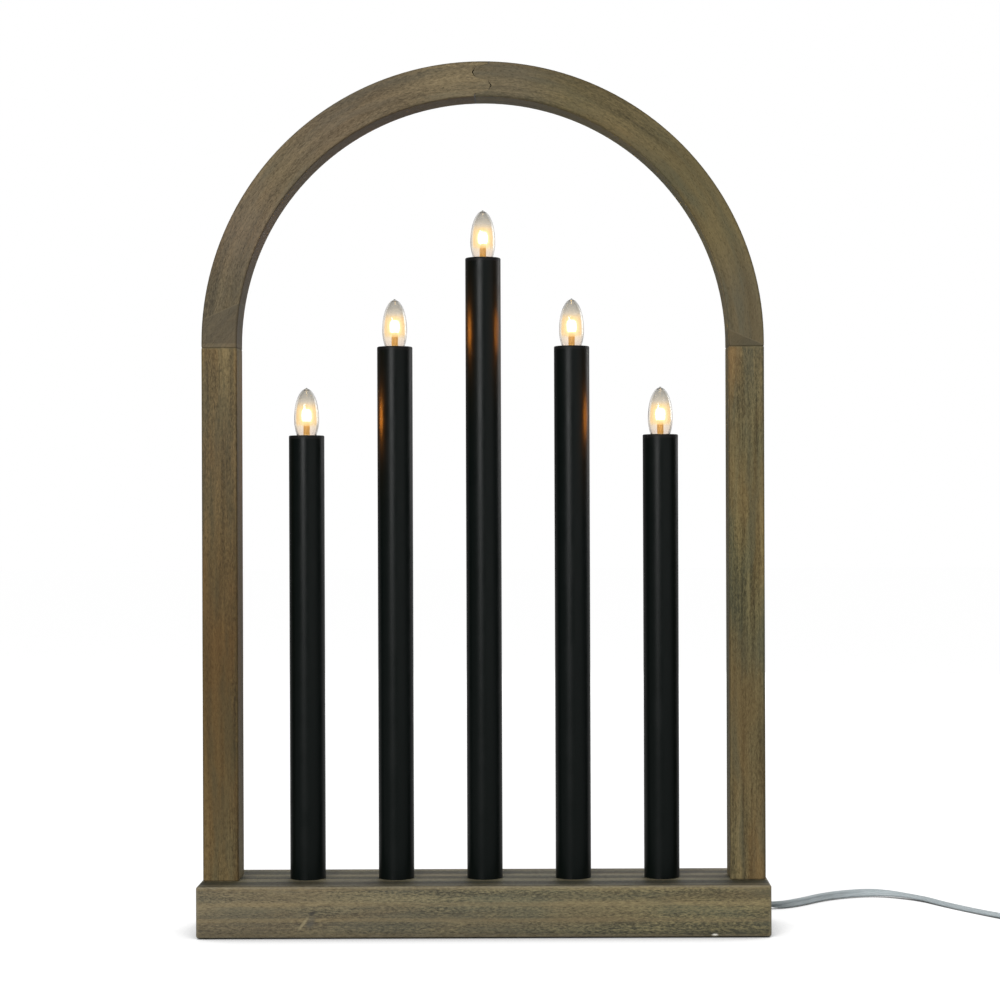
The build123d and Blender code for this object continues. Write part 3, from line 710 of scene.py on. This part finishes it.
def makeCrownGlue(setup):  # dark glue in the two open ends of the joint, a little below the wood
    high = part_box("arch_right")[1]
    half = high.y - setup["inset"]
    near, far = setup["edge"] - setup["gap"], setup["edge"]
    material, tree, shader = newMaterial("joinGlue", Roughness=setup["roughness"])
    surface = fineTexture(tree, setup["peel"], setup["smudge"])
    color = blendColor(tree, surface["Mask"], setup["dark"], setup["pale"])
    tree.links.new(color, shader.inputs["Base Color"])
    setBump(tree, shader, surface["Height"], setup["bumpDepth"], setup["bumpStrength"])
    points, faces = [], []
    for side, level in ((1, high.z), (-1, high.z - setup["band"])):
        deep, face = level - side * setup["deep"], level - side * setup["sunk"]
        dip = ((near + far) / 2, face - side * setup["dip"])
        outline = [(near, deep), (far, deep), (far, face), dip, (near, face)]
        front, back = ([(side * x, y, z) for x, z in outline] for y in (-half, half))
        addPrism(points, faces, front, back)
    glue = newPiece("crown_glue", points, faces, material, smooth=False)
    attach(glue, "stand")


makeCrownGlue(crownGlue)
print("woodwork is finished")


tubeLook = {"color": (0.0018, 0.0034, 0.0029, 1.0), "roughness": 0.34, "peel": 1400.0, "smudge": 60.0}
holderLook = {"color": (0.008, 0.008, 0.008, 1.0), "roughness": 0.42, "peel": 2600.0, "smudge": 180.0}
satinFigure = {"ior": 1.22, "smudgeRoughness": 0.08, "bumpDepth": 0.00006, "bumpStrength": 0.35}
metalFigure = {"smudge": 350.0, "smudgeRoughness": 0.15, "shade": 0.35, "shadeTone": 0.6,
               "bumpDepth": 0.00004, "bumpStrength": 0.3}
plasticFigure = {"smudge": 120.0, "smudgeRoughness": 0.1, "shade": 0.4, "shadeTone": 0.8,
                 "bumpDepth": 0.00008, "bumpStrength": 0.3}


def satinBlack(name, look):
    material, tree, shader = newMaterial(name, Base_Color=look["color"], IOR=satinFigure["ior"])
    surface = fineTexture(tree, look["peel"], look["smudge"])
    change = satinFigure["smudgeRoughness"]
    rough = calc(tree, "MULTIPLY_ADD", surface["Mask"], change, look["roughness"] - change / 2)
    tree.links.new(rough, shader.inputs["Roughness"])
    setBump(tree, shader, surface["Height"], satinFigure["bumpDepth"], satinFigure["bumpStrength"])
    return material


def smudgedMaterial(name, figure, color, roughness, scale, **more):
    material, tree, shader = newMaterial(name, Base_Color=(*color, 1.0), **more)
    surface = fineTexture(tree, scale, figure["smudge"])
    share = calc(tree, "MULTIPLY", surface["Mask"], figure["shade"])
    shaded = blendColor(tree, share, color, tuple(figure["shadeTone"] * c for c in color))
    rough = calc(tree, "MULTIPLY_ADD", surface["Mask"], figure["smudgeRoughness"], roughness)
    tree.links.new(shaded, shader.inputs["Base Color"])
    tree.links.new(rough, shader.inputs["Roughness"])
    setBump(tree, shader, surface["Height"], figure["bumpDepth"], figure["bumpStrength"])
    return material


def metalMaterial(name, color, roughness, scale):
    return smudgedMaterial(name, metalFigure, color, roughness, scale, Metallic=1.0)


def plasticMaterial(name, color, roughness, scale=1500.0, **more):
    return smudgedMaterial(name, plasticFigure, color, roughness, scale, **more)


glassLook = {  # colors by height, with ranges of it as shares, and towards the outline
    "foot": (0.93, 0.86, 0.80), "waist": (0.97, 0.90, 0.80), "footRange": (0.1, 0.3),
    # the grey tip and the darker outline are painted shade on the glass
    "tip": (0.62, 0.61, 0.58), "tipRange": (0.55, 0.95), "outlineShade": (0.5, 0.47, 0.43), "outlineShadeRange": (0.6, 0.98),
    "roughness": 0.09, "ior": 1.46,
    "ripple": (420.0, 420.0, 90.0), "rippleDepth": 0.0003, "rippleStrength": 0.25,
}


def glassMaterial(look):
    material, tree, shader = newMaterial(
        "bulbGlass", Transmission_Weight=1.0, IOR=look["ior"], Roughness=look["roughness"])
    height = axes(tree, coords(tree, "Generated"))["Z"]
    color = blendColor(tree, between(tree, height, *look["footRange"]), look["foot"], look["waist"])
    # painted shade: the glass turns greyer towards its tip and darker towards its outline
    color = blendColor(tree, between(tree, height, *look["tipRange"]), color, look["tip"])
    turned = place(tree, "ShaderNodeLayerWeight", {"Blend": 0.5}).outputs["Facing"]
    color = blendColor(tree, between(tree, turned, *look["outlineShadeRange"]), color, look["outlineShade"])
    tree.links.new(color, shader.inputs["Base Color"])
    ripple = noise(tree, coords(tree), look["ripple"], 1.0)
    setBump(tree, shader, ripple, look["rippleDepth"], look["rippleStrength"])
    return material


glowShells = [  # half width, half height, height of the middle (m), squareness, color, strength, alpha
    (0.0032, 0.0042, 0.0123, 2.8, (1.0, 0.66, 0.30), 30.0, 1.0),
    (0.0042, 0.0054, 0.0123, 2.3, (1.0, 0.88, 0.58), 1.4, 0.6),
    (0.0052, 0.0067, 0.0123, 2.1, (1.0, 0.82, 0.46), 1.25, 0.45),
]
glowLining = {  # warm glow just inside the glass, which fades towards its foot and tip
    "profile": [(0.0, 0.0046), (0.0054, 0.0047), (0.0060, 0.0065), (0.00635, 0.0085), (0.00635, 0.012),
                (0.0061, 0.0155), (0.0054, 0.019), (0.0043, 0.0215), (0.0, 0.0222)],
    "fadeLow": (0.0048, 0.0085), "fadeHigh": (0.0215, 0.0165),
    "color": (1.0, 0.72, 0.34), "strength": 1.15, "alpha": 0.45,
}
bulbLight = {"power": 0.27, "radius": 0.005, "height": 0.0123, "color": (1.0, 0.30, 0.025)}
stemLook = {"gold": (0.60, 0.34, 0.08), "pale": (0.85, 0.78, 0.66), "range": (0.25, 0.4), "glow": 0.45,
            "roughness": 0.3}


def ovalProfile(wide, tall, middle, square, steps=14):
    profile = []
    for i in range(steps + 1):
        angle = pi * i / steps
        rise = abs(cos(angle)) ** (2 / square) * (-1 if i < steps / 2 else 1)
        profile.append((wide * sin(angle) ** (2 / square) if 0 < i < steps else 0, middle + tall * rise))
    return profile


def glowMaterial(name, color, strength, alpha):
    return newMaterial(name, Base_Color=(0.02, 0.015, 0.01, 1.0), Alpha=alpha, Roughness=0.6,
                       Specular_IOR_Level=0.0, Emission_Color=(*color, 1.0), Emission_Strength=strength)


def makeGlowMesh(shells, lining):
    layers = []
    for number, (wide, tall, middle, square, color, strength, alpha) in enumerate(shells):
        material = glowMaterial(f"bulbGlow{number}", color, strength, alpha)[0]
        layers.append((ovalProfile(wide, tall, middle, square), material))
    material, tree, shader = glowMaterial(
        "bulbGlowLining", lining["color"], lining["strength"], lining["alpha"])
    height = axes(tree, coords(tree))["Z"]
    low, high = (between(tree, height, *lining[fade]) for fade in ("fadeLow", "fadeHigh"))
    alpha = calc(tree, "MULTIPLY", calc(tree, "MULTIPLY", low, high), lining["alpha"])
    tree.links.new(alpha, shader.inputs["Alpha"])
    layers.append((lining["profile"], material))
    mesh = bpy.data.meshes.new("bulbGlow")
    points, faces, owners = [], [], []
    for number, (profile, material) in enumerate(layers):
        shellPoints, shellFaces = lathe(profile, 24)
        faces += [tuple(index + len(points) for index in face) for face in shellFaces]
        owners += [number] * len(shellFaces)
        points += shellPoints
        mesh.materials.append(material)
    mesh.from_pydata(points, [], faces)
    for polygon, owner in zip(mesh.polygons, owners):
        polygon.material_index = owner
        polygon.use_smooth = True
    return mesh


def makeBulbLight(setup, seat, receivers):  # small warm lamp, whose reflection shows on the tubes beside it
    data = bpy.data.lights.new("bulbLight", "POINT")
    data.energy = setup["power"]
    data.color = setup["color"]
    data.shadow_soft_size = setup["radius"]
    lamp = bpy.data.objects.new("bulbLight", data)
    lamp.location = (seat[0], seat[1], seat[2] + setup["height"])
    lamp.visible_camera = False
    lamp.visible_transmission = False
    lamp.light_linking.receiver_collection = receivers
    lamp.light_linking.blocker_collection = receivers
    bpy.context.scene.collection.objects.link(lamp)


def stemMaterial(look):
    material, tree, shader = newMaterial(
        "bulbStem", Roughness=look["roughness"], Emission_Strength=look["glow"])
    height = axes(tree, coords(tree, "Generated"))["Z"]
    color = blendColor(tree, between(tree, height, *look["range"]), look["pale"], look["gold"])
    tree.links.new(color, shader.inputs["Base Color"])
    tree.links.new(color, shader.inputs["Emission Color"])
    return material


threadSize = {"radius": 0.0048, "depth": 0.0004, "pitch": 0.001814, "sides": 40, "rowsPerTurn": 12}


def makeThreadMesh(size, foot, top):
    rows = round((top - foot) / size["pitch"] * size["rowsPerTurn"])
    points, faces = [], []
    for row in range(rows + 1):
        height = foot + (top - foot) * row / rows
        fade = min(1.0, 2.0 * row / size["rowsPerTurn"], 2.0 * (rows - row) / size["rowsPerTurn"])
        for i in range(size["sides"]):
            angle = 2 * pi * i / size["sides"]
            phase = 2 * pi * height / size["pitch"] - angle
            radius = size["radius"] - fade * size["depth"] * (0.5 - 0.5 * cos(phase))
            points.append((radius * cos(angle), radius * sin(angle), height))
    for row in range(rows):
        for i in range(size["sides"]):
            j = (i + 1) % size["sides"]
            a, b = row * size["sides"], (row + 1) * size["sides"]
            faces.append((a + i, a + j, b + j, b + i))
    return points, faces


def dressCandles():
    tube = satinBlack("tubePaint", tubeLook)
    holder = satinBlack("holderPlastic", holderLook)
    brass = metalMaterial("holderBrass", (0.62, 0.43, 0.18), 0.3, 4000.0)
    nickel = metalMaterial("capNickel", (0.66, 0.64, 0.58), 0.24, 5000.0)
    insulator = plasticMaterial("tipInsulator", (0.02, 0.018, 0.018), 0.25)
    glass = glassMaterial(glassLook)
    stem = stemMaterial(stemLook)
    glowMesh = makeGlowMesh(glowShells, glowLining)
    receivers = bpy.data.collections.new("candleTubes")
    for n in candleNumbers:
        receivers.objects.link(nodes[f"candle_tube_{n}"])
    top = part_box("lamp_holder_1")[1].z
    capLow, capHigh = (corner.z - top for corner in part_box("bulb_cap_1"))
    points, faces = makeThreadMesh(threadSize, capLow, capHigh)
    for n in candleNumbers:
        dress(f"candle_tube_{n}", tube)
        dress(f"lamp_holder_{n}", holder)
        dress(f"holder_shell_{n}", brass)
        dress(f"holder_contact_{n}", brass)
        dress(f"bulb_cap_{n}", nickel)
        dress(f"bulb_tip_{n}", insulator)
        dress(f"bulb_led_{n}", stem)
        dress(f"bulb_glass_{n}", glass)
        low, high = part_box(f"lamp_holder_{n}")
        seat = ((low.x + high.x) / 2, 0.0, high.z)
        makeBulbLight(bulbLight, seat, receivers)
        glow = bpy.data.objects.new(f"bulb_glow_{n}", glowMesh)
        bpy.context.scene.collection.objects.link(glow)
        thread = newPiece(f"cap_thread_{n}", points, faces, nickel)
        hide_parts(f"bulb_cap_{n}")
        for piece, slot in ((glow, "stem_light"), (thread, "cap_metal")):
            piece.location = seat
            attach(piece, f"bulb_{n}")


dressCandles()
print("candles and bulbs are finished")


cordSetup = {  # metres
    "exit": (0.150, 0.035),
    "steps": [  # across and back from the hole, and the level of the middle
        (0.0, 0.0, 0.0081), (0.0, 0.0195, 0.0081), (0.019, 0.0355, 0.0046), (0.0388, 0.0329, 0.0024),
        (0.053, 0.042, 0.0029), (0.0737, 0.0671, 0.0029), (0.0992, 0.0804, 0.0029), (0.1168, 0.0794, 0.0028),
        (0.1375, 0.0628, 0.0019), (0.1483, 0.0405, 0.0014), (0.1715, 0.0025, 0.0014), (0.192, -0.027, 0.0025),
        (0.196, -0.049, 0.0033), (0.196, -0.065, 0.0032),
    ],
    "width": 0.0052, "thickness": 0.0026,
    "coilInner": 0.0215, "coilPitch": 0.0045, "coilTurns": 4, "turnsBack": 3, "coilStart": 0.004,
    "coilLevels": (0.0032, 0.0085), "pointsPerHalfTurn": 8, "coilTail": 0.024, "tailLevels": (0.0075, 0.0065),
    "turns": [  # distance along the cord, and degrees that its wide side is turned up from flat
        (0.0, 0.0), (0.044, 0.0), (0.074, 90.0), (0.120, 90.0), (0.176, 180.0), (0.262, 180.0),
        (0.300, 270.0),
    ],
    "length": 1.71, "color": (0.54, 0.60, 0.62), "resolution": 8,
}


def coilPoints(setup):
    x, y = (setup["exit"][axis] + setup["steps"][-1][axis] for axis in range(2))
    pitch, turns = setup["coilPitch"], setup["coilTurns"]
    outer = setup["coilInner"] + turns * pitch
    low, high = setup["coilLevels"]
    crossings = [(outer - pitch / 2 * half, low) for half in range(2 * turns + 1)]
    inner = crossings[-1][0]
    crossings.append((inner - pitch / 2, high))
    crossings += [(inner + pitch / 2 * (half + 1), high) for half in range(2 * setup["turnsBack"])]
    middle = (x + outer, y - setup["coilStart"])
    points = []
    count = setup["pointsPerHalfTurn"]
    swell = 1.0 / cos(pi / (2 * count))  # the spline runs inside its points by this much
    for half, ((radius, level), (nextRadius, nextLevel)) in enumerate(zip(crossings, crossings[1:])):
        for i in range(count):
            share = (1 - cos(pi * i / count)) / 2
            reach = (radius + (nextRadius - radius) * share) * swell
            angle = pi * (1 + half + i / count)
            rise = level + (nextLevel - level) * i / count
            points.append((middle[0] + reach * cos(angle), middle[1] + reach * sin(angle), rise))
    end = (middle[0] + crossings[-1][0], middle[1])
    points.append((*end, high))
    for share, level in zip((0.5, 1.0), setup["tailLevels"]):
        points.append((end[0], end[1] + setup["coilTail"] * share, level))
    return points, middle


def cordLine(setup):  # smooth spline through the route, read back as points
    route = [(setup["exit"][0] + x, setup["exit"][1] + y, z) for x, y, z in setup["steps"]]
    spare, middle = coilPoints(setup)
    route += spare[1:]
    curve = bpy.data.curves.new("cordLine", "CURVE")
    curve.dimensions = "3D"
    spline = curve.splines.new("NURBS")
    spline.points.add(len(route) - 1)
    for point, spotXyz in zip(spline.points, route):
        point.co = (*spotXyz, 1.0)
    spline.order_u = 3
    spline.use_endpoint_u = True
    spline.resolution_u = setup["resolution"]
    holder = bpy.data.objects.new("cordLine", curve)
    bpy.context.scene.collection.objects.link(holder)
    mesh = bpy.data.meshes.new_from_object(holder)
    path = [vertex.co.copy() for vertex in mesh.vertices]
    bpy.data.objects.remove(holder)
    bpy.data.curves.remove(curve)
    bpy.data.meshes.remove(mesh)
    return path, middle


def cordTurn(setup, distance):
    stops = setup["turns"]
    for (start, first), (end, second) in zip(stops, stops[1:]):
        if distance < end:
            share = max(0.0, (distance - start) / (end - start))
            return radians(first + (second - first) * share * share * (3 - 2 * share))
    return radians(stops[-1][1])


def flatSection(width, thickness, corners=10):  # oval with flat sides
    points = []
    for side in (1, -1):
        for i in range(corners):
            angle = side * pi / 2 * (1 - 2 * i / (corners - 1))
            angle = angle if side > 0 else angle + pi
            across = side * (width - thickness) / 2
            points.append((across + thickness / 2 * cos(angle), thickness / 2 * sin(angle)))
    return points


sleeveSetup = {  # metres; width and thickness at the housing and at the free end
    "length": 0.024, "root": (0.0096, 0.0078), "tip": (0.0062, 0.0037), "ribs": 6, "ribDepth": 0.0005,
    "step": 0.0005,
}


def alongPath(path, length, step):  # evenly spaced points on the first stretch of the cord
    points, done, wanted = [path[0]], 0.0, step
    for start, end in zip(path, path[1:]):
        run = (end - start).length
        while wanted <= min(done + run, length):
            points.append(start.lerp(end, (wanted - done) / run))
            wanted += step
        done += run
    return points


def makeSleeve(setup, path, material):  # tapered, ribbed strain relief
    def section(share):
        wide, thick = (root + (tip - root) * share for root, tip in zip(setup["root"], setup["tip"]))
        rib = setup["ribDepth"] * cos(2 * pi * setup["ribs"] * share)
        return flatSection(wide + rib, thick + rib)

    points, faces = sweep(alongPath(path, setup["length"], setup["step"]), section, lambda distance: 0.0)
    return newPiece("cord_sleeve", points, faces, material)


tieSetup = {"width": 0.008, "thickness": 0.0006, "corner": 0.003, "cornerSteps": 6, "slack": 0.0003,
            "tab": (0.030, 0.0365)}


def makeTie(setup, cord, middle, material):  # strap round one side of the coil, with its free end on top
    half, thick = setup["width"] / 2, setup["thickness"]
    inner = cord["coilInner"] - cord["coilPitch"] / 2 - cord["thickness"] / 2 - setup["slack"]
    outer = cord["coilInner"] + cord["coilTurns"] * cord["coilPitch"] + cord["thickness"] / 2 + setup["slack"]
    low = cord["coilLevels"][0] - cord["width"] / 2
    high = cord["coilLevels"][1] + cord["width"] / 2 + setup["slack"]
    corner, steps = setup["corner"], setup["cornerSteps"]
    centers = [(outer - corner, high - corner), (inner + corner, high - corner),
               (inner + corner, low + corner), (outer - corner, low + corner)]
    points, faces = [], []
    for quarter, (reach, level) in enumerate(centers):
        for i in range(steps + 1):
            angle = pi / 2 * (quarter + i / steps)
            near = (reach + corner * cos(angle), level + corner * sin(angle))
            far = (reach + (corner + thick) * cos(angle), level + (corner + thick) * sin(angle))
            for side, (r, z) in ((-half, near), (half, near), (half, far), (-half, far)):
                points.append((middle[0] + side, middle[1] - r, z))
    stations = len(points) // 4
    for i in range(stations):
        j = (i + 1) % stations
        for k in range(4):
            n = (k + 1) % 4
            faces.append((4 * i + k, 4 * j + k, 4 * j + n, 4 * i + n))
    tabStart, tabEnd = setup["tab"]
    outline = [(-half, tabStart), (half, tabStart), (half, tabEnd - half / 2), (half / 2, tabEnd),
               (-half / 2, tabEnd), (-half, tabEnd - half / 2)]
    levels = (high + thick, high + 2 * thick)
    under, above = ([(middle[0] + x, middle[1] - r, level) for x, r in outline] for level in levels)
    addPrism(points, faces, under, above)
    return newPiece("coil_tie", points, faces, material, smooth=False)


ribSetup = {"count": 5, "first": 0.0045, "pitch": 0.0034, "width": 0.0018, "bevel": 0.0004, "stand": 0.0006,
            "nose": 0.022, "radii": (0.0032, 0.0052), "sides": 32}


def makePlugRibs(setup, material):  # rings on the plug's tapered end
    low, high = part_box("plug_body")
    x, z = (low.x + high.x) / 2, (low.z + high.z) / 2
    half, bevel = setup["width"] / 2, setup["bevel"]
    points, faces = [], []
    for number in range(setup["count"]):
        along = setup["first"] + number * setup["pitch"]
        radius = setup["radii"][0] + (setup["radii"][1] - setup["radii"][0]) * along / setup["nose"]
        top = radius + setup["stand"]
        profile = [(radius - bevel, -half), (top - bevel, -half), (top, bevel - half), (top, half - bevel),
                   (top - bevel, half), (radius - bevel, half)]
        ringPoints, ringFaces = lathe(profile, setup["sides"], closed=True)
        faces += [tuple(index + len(points) for index in face) for face in ringFaces]
        points += [(x + px, low.y + along + height, z - py) for px, py, height in ringPoints]
    return newPiece("plug_ribs", points, faces, material)


def makeCord(setup):
    path, middle = cordLine(setup)
    ring = flatSection(setup["width"], setup["thickness"])
    points, faces = sweep(path, lambda share: ring, lambda distance: cordTurn(setup, distance))
    plastic = plasticMaterial("cordPlastic", setup["color"], 0.42, 2200.0, Subsurface_Weight=0.7,
                              Subsurface_Radius=(0.004, 0.004, 0.004))
    plugPlastic = plasticMaterial("plugPlastic", (0.5, 0.52, 0.53), 0.4, 1800.0)
    dress("plug_body", plugPlastic)
    dress("plug_pins", metalMaterial("pinNickel", (0.7, 0.69, 0.66), 0.22, 3000.0))
    cord = newPiece("mains_cord", points, faces, plastic)
    sleeve = makeSleeve(sleeveSetup, path, plastic)
    tie = makeTie(tieSetup, setup, middle, plasticMaterial("tieRubber", (0.014, 0.014, 0.014), 0.6, 1600.0))
    ribs = makePlugRibs(ribSetup, plugPlastic)
    slots = ((cord, "cord_plastic"), (sleeve, "cord_plastic"), (tie, "pad_rubber"), (ribs, "plug_plastic"))
    for piece, slot in slots:
        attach(piece, "stand")
    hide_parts("cord_lead", "cord_coil")


makeCord(cordSetup)
print("cord is laid")


def dressFittings():  # these only show from below or not at all
    board = plasticMaterial("coverBoard", (0.16, 0.105, 0.06), 0.65, 900.0)
    steel = metalMaterial("screwSteel", (0.55, 0.55, 0.53), 0.3, 4000.0)
    dress("bottom_cover", board)
    dress("cover_screws", steel)
    dress("clamp_screw", steel)
    dress("foot_pads", plasticMaterial("padRubber", (0.015, 0.015, 0.015), 0.75, 1200.0))
    dress("dowels", plasticMaterial("pegWood", (0.4, 0.27, 0.14), 0.6, 700.0))
    dress("lamp_wires", plasticMaterial("wireInsulation", (0.55, 0.55, 0.53), 0.4))
    dress("cord_clamp", plasticMaterial("clampPlastic", (0.6, 0.6, 0.58), 0.45))
    dress("cord_inlet", plasticMaterial("cordPlasticInside", cordSetup["color"], 0.42))


dressFittings()
print("fittings are finished")

bpy.context.scene.view_settings.view_transform = "Standard"
